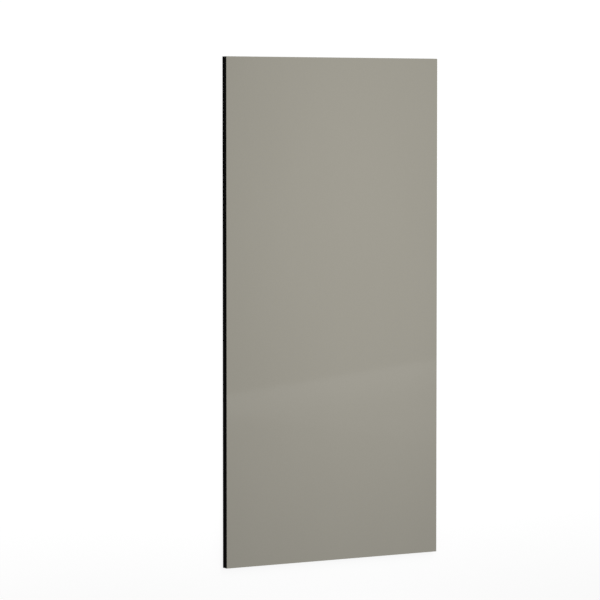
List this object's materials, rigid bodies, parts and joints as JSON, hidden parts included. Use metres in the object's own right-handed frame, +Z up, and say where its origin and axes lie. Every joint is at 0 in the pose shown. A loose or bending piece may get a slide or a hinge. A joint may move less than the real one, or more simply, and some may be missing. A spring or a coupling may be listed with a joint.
{
  "type": "decorative laminate sheet",
  "caption": "Full-size flat decorative laminate sheet: a satin plain greige decor face over a solid black core, with eased edges and a sanded back for bonding.",
  "frame": {"origin": "middle of the sanded back face, on the surface the sheet lies on", "axes": "+Z up through the decor face, +Y along the 8 ft length, +X across the 4 ft width"},
  "size_m": [1.2192, 2.4384, 0.036],
  "materials": {
    "laminate": "satin"
  },
  "bodies": {
    "root": {"laminate_sheet": "laminate"}
  },
  "joints": []
}
